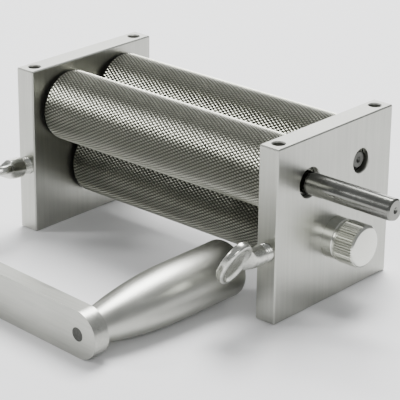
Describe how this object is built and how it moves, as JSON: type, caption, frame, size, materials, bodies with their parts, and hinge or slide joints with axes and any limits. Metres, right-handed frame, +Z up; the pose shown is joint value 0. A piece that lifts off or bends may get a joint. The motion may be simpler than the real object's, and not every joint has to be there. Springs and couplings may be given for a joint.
{
  "type": "roller mill",
  "caption": "Hand-cranked grain mill: knurled steel rollers between aluminium end plates, eccentric gap adjusters, clamp thumb screws, a bare drive shaft and a loose crank with a tapered grip.",
  "frame": {"origin": "centre of the four base holes, on the plane that the end plates stand on", "axes": "+X along the rollers towards the drive shaft, -Y towards the clamp thumb screws and the crank, +Z up towards the hopper holes"},
  "size_m": [0.2204, 0.15, 0.0761],
  "materials": {
    "plate_aluminium": "satin",
    "adjuster_aluminium": "turned and knurled",
    "arm_aluminium": "satin",
    "grip_aluminium": "polished, scuffed",
    "roller_steel": "diamond knurled",
    "shaft_steel": "turned",
    "washer_steel": "plain",
    "bearing_steel": "ground",
    "shield_steel": "pressed",
    "bolt_steel": "black oxide",
    "cast_zinc": "bright cast zinc",
    "bush_bronze": "plain",
    "pad_brass": "plain"
  },
  "bodies": {
    "frame": {"end_plate_right": "plate_aluminium", "end_plate_left": "plate_aluminium", "drive_bearing_right_outer_race": "bearing_steel", "drive_bearing_right_shields": "shield_steel", "drive_bearing_left_outer_race": "bearing_steel", "drive_bearing_left_shields": "shield_steel", "idler_bearing_right_outer_race": "bearing_steel", "idler_bearing_right_shields": "shield_steel", "idler_bearing_left_outer_race": "bearing_steel", "idler_bearing_left_shields": "shield_steel"},
    "drive_roller": {"drive_roller_drum": "roller_steel", "drive_shaft": "shaft_steel", "drive_spacers": "washer_steel", "drive_bearing_right_inner_race": "bearing_steel", "drive_bearing_right_balls": "bearing_steel", "drive_bearing_left_inner_race": "bearing_steel", "drive_bearing_left_balls": "bearing_steel"},
    "idler_roller": {"idler_roller_drum": "roller_steel", "idler_axle": "shaft_steel", "idler_spacers": "washer_steel", "idler_bearing_right_inner_race": "bearing_steel", "idler_bearing_right_balls": "bearing_steel", "idler_bearing_left_inner_race": "bearing_steel", "idler_bearing_left_balls": "bearing_steel"},
    "gap_roller": {"gap_roller_drum": "roller_steel", "gap_axle": "shaft_steel", "gap_thrust_washers": "washer_steel"},
    "adjuster_right": {"gap_adjuster_right": "adjuster_aluminium", "gap_bush_right": "bush_bronze"},
    "adjuster_left": {"gap_adjuster_left": "adjuster_aluminium", "gap_bush_left": "bush_bronze"},
    "pad_right": {"clamp_pad_right": "pad_brass"},
    "pad_left": {"clamp_pad_left": "pad_brass"},
    "screw_right": {"thumb_screw_right": "cast_zinc"},
    "screw_left": {"thumb_screw_left": "cast_zinc"},
    "crank": {"crank_arm": "arm_aluminium", "crank_grub_screw": "bolt_steel", "grip_bolt": "bolt_steel", "grip_washer": "washer_steel"},
    "grip": {"crank_grip": "grip_aluminium"}
  },
  "joints": [
    {"name": "drive_roller_spin", "type": "hinge", "parent": "frame", "child": "drive_roller", "pos_m": [0, -0.017, 0.05652], "axis": [1, 0, 0], "continuous": true},
    {"name": "idler_roller_spin", "type": "hinge", "parent": "frame", "child": "idler_roller", "pos_m": [0, 0.017, 0.05652], "axis": [1, 0, 0], "continuous": true},
    {"name": "gap_adjuster_right_turn", "type": "hinge", "parent": "frame", "child": "adjuster_right", "pos_m": [0, 0.0006, 0.02743], "axis": [1, 0, 0], "range_deg": [-147, 33]},
    {"name": "gap_adjuster_left_turn", "type": "hinge", "parent": "frame", "child": "adjuster_left", "pos_m": [0, 0.0006, 0.02743], "axis": [1, 0, 0], "range_deg": [-147, 33]},
    {"name": "gap_roller_spin", "type": "hinge", "parent": "adjuster_right", "child": "gap_roller", "pos_m": [0, 0, 0.0265], "axis": [1, 0, 0], "continuous": true},
    {"name": "clamp_pad_right_slide", "type": "slide", "parent": "frame", "child": "pad_right", "axis": [0, -0.9956, 0.0941], "range_m": [0, 0.002]},
    {"name": "thumb_screw_right_turn", "type": "hinge", "parent": "pad_right", "child": "screw_right", "pos_m": [0.07, -0.0375, 0.03103], "axis": [0, -0.9956, 0.0941], "range_deg": [0, 570]},
    {"name": "clamp_pad_left_slide", "type": "slide", "parent": "frame", "child": "pad_left", "axis": [0, -0.9956, 0.0941], "range_m": [0, 0.002]},
    {"name": "thumb_screw_left_turn", "type": "hinge", "parent": "pad_left", "child": "screw_left", "pos_m": [-0.07, -0.0375, 0.03103], "axis": [0, -0.9956, 0.0941], "range_deg": [0, 570]},
    {"name": "crank_pull_away", "type": "slide", "parent": "frame", "child": "crank", "axis": [0, -1, 0], "range_m": [0, 0.12]},
    {"name": "grip_spin", "type": "hinge", "parent": "crank", "child": "grip", "pos_m": [0.03999, -0.06691, 0.01212], "axis": [0.0575, 0.9976, 0.0384], "continuous": true}
  ],
  "couplings": [
    {"joint": "gap_adjuster_left_turn", "follows": "gap_adjuster_right_turn", "ratio": 1}
  ]
}
